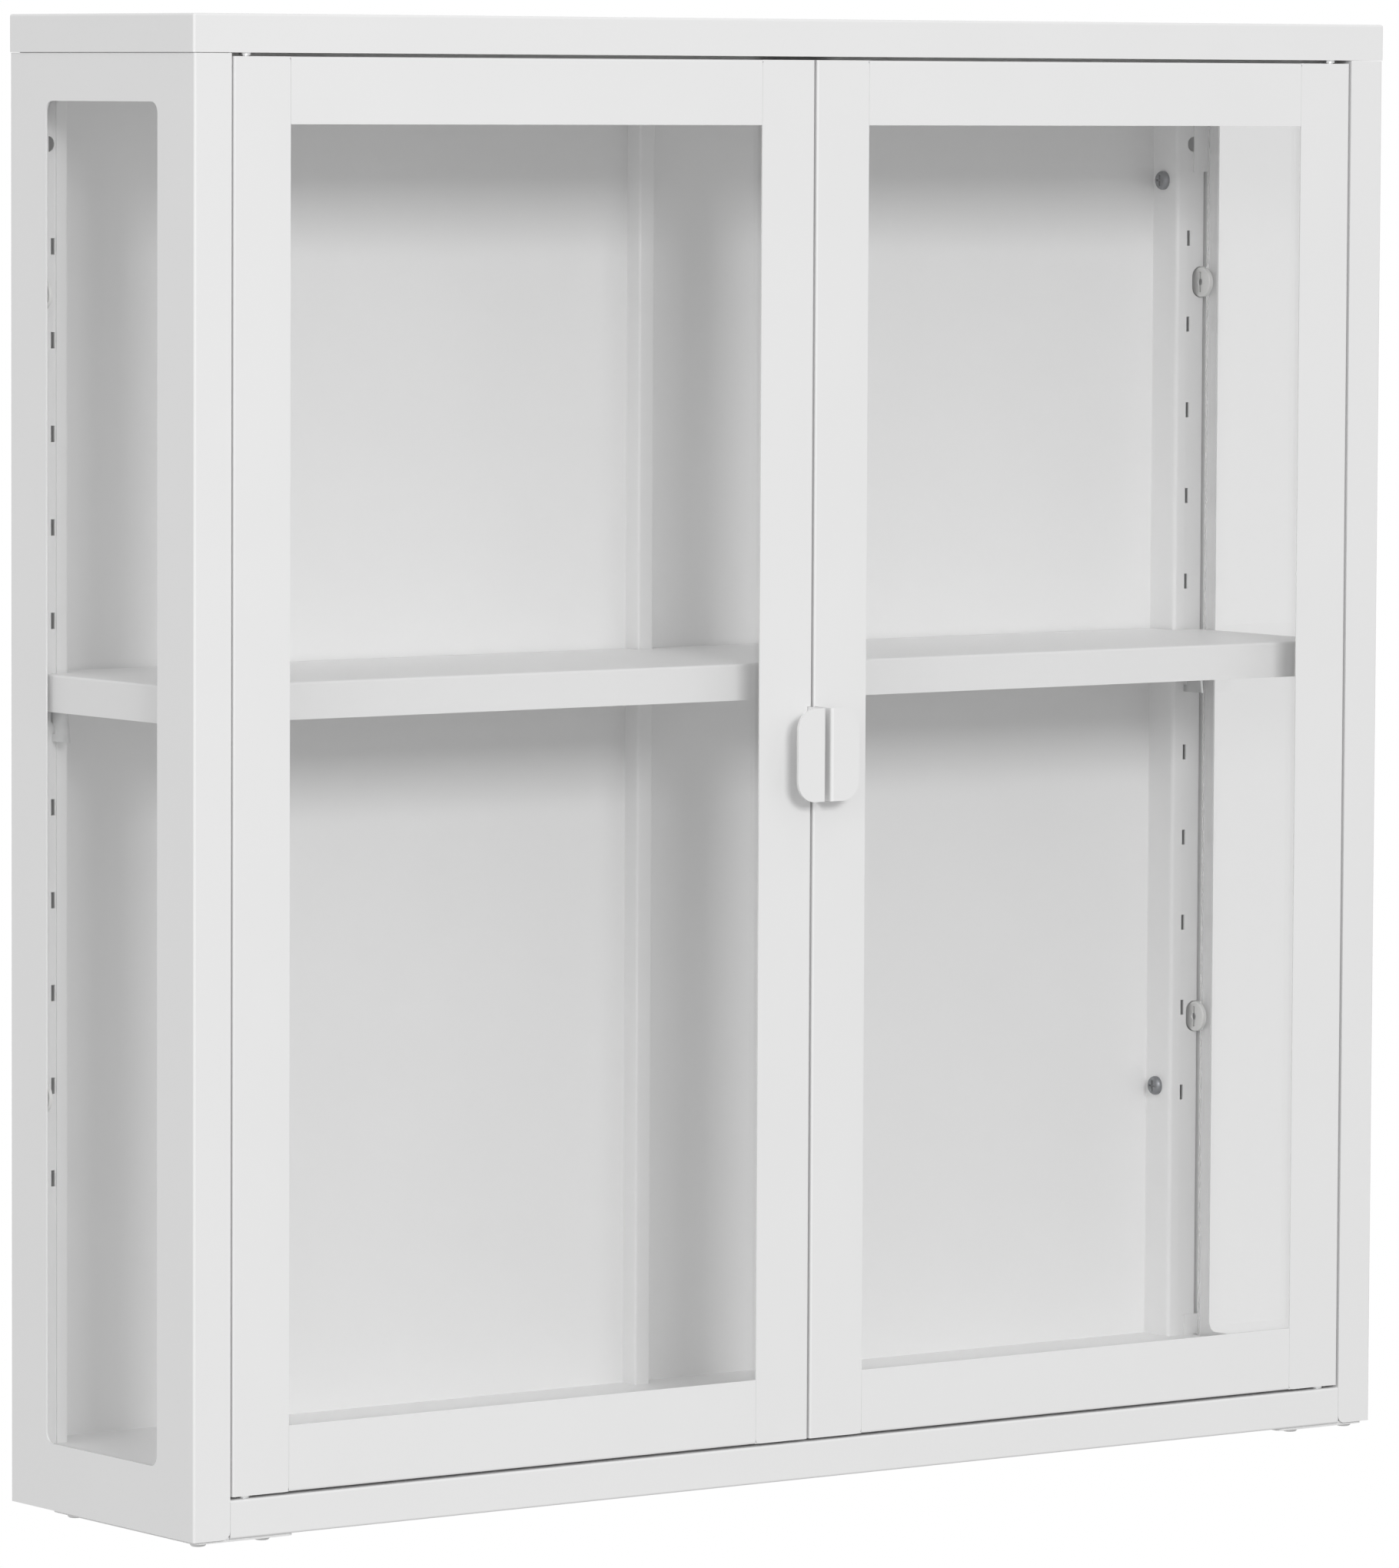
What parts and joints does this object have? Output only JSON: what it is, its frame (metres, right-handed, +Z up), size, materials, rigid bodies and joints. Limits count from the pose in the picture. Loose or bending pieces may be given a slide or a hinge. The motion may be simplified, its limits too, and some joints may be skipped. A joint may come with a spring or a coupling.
{
  "type": "hanging wall cabinet",
  "caption": "Shallow white steel wall cabinet with glazed side panels, a pair of inset glazed doors on pivot pins, folded pulls and a lift-out shelf on slotted posts.",
  "frame": {"origin": "midway between the two wall-screw holes, on the wall plane", "axes": "+X to the cabinet's right as seen from the front, +Y into the wall, +Z up"},
  "size_m": [0.8072, 0.195, 0.8037],
  "materials": {
    "powder_coat": "satin white powder coat on sheet steel",
    "clear_glass": "clear float glass, ground edges",
    "seal_rubber": "matte light sealing tape",
    "retainer_plastic": "pale translucent plastic",
    "zinc_steel": "bright zinc plating",
    "dark_zinc": "dull dark zinc plating",
    "white_nylon": "moulded white nylon",
    "magnet_iron": "dark sintered magnet"
  },
  "bodies": {
    "carcass": {"top_cap": "powder_coat", "ceiling_tray": "powder_coat", "bottom_tray": "powder_coat", "back_panel": "powder_coat", "back_center_rib": "powder_coat", "back_panel_screws": "dark_zinc", "base_screws": "powder_coat", "shelf_clips": "zinc_steel", "magnet_catch": "white_nylon", "catch_magnets": "magnet_iron", "catch_screws": "zinc_steel", "left_side_panel": "powder_coat", "left_rear_post": "powder_coat", "left_front_post": "powder_coat", "left_side_glass": "clear_glass", "left_side_retainers": "retainer_plastic", "left_side_studs": "zinc_steel", "left_corner_tabs": "powder_coat", "left_base_plate": "powder_coat", "left_pivot_pins": "zinc_steel", "right_side_panel": "powder_coat", "right_rear_post": "powder_coat", "right_front_post": "powder_coat", "right_side_glass": "clear_glass", "right_side_retainers": "retainer_plastic", "right_side_studs": "zinc_steel", "right_corner_tabs": "powder_coat", "right_base_plate": "powder_coat", "right_pivot_pins": "zinc_steel"},
    "left_door": {"left_hinge_stile": "powder_coat", "left_meeting_stile": "powder_coat", "left_top_rail": "powder_coat", "left_bottom_rail": "powder_coat", "left_door_glass": "clear_glass", "left_glass_seal": "seal_rubber", "left_glass_retainers": "retainer_plastic", "left_retainer_studs": "zinc_steel", "left_pivot_bushes": "white_nylon", "left_handle": "powder_coat"},
    "right_door": {"right_hinge_stile": "powder_coat", "right_meeting_stile": "powder_coat", "right_top_rail": "powder_coat", "right_bottom_rail": "powder_coat", "right_door_glass": "clear_glass", "right_glass_seal": "seal_rubber", "right_glass_retainers": "retainer_plastic", "right_retainer_studs": "zinc_steel", "right_pivot_bushes": "white_nylon", "right_handle": "powder_coat"},
    "shelf": {"shelf": "powder_coat"}
  },
  "joints": [
    {"name": "left_door_pivot", "type": "hinge", "parent": "carcass", "child": "left_door", "pos_m": [-0.3681, -0.1742, 0], "axis": [0, 0, -1], "range_deg": [0, 110]},
    {"name": "right_door_pivot", "type": "hinge", "parent": "carcass", "child": "right_door", "pos_m": [0.3681, -0.1742, 0], "axis": [0, 0, 1], "range_deg": [0, 110]},
    {"name": "shelf_lift", "type": "slide", "parent": "carcass", "child": "shelf", "axis": [0, 0, 1], "range_m": [0, 0.15]}
  ]
}
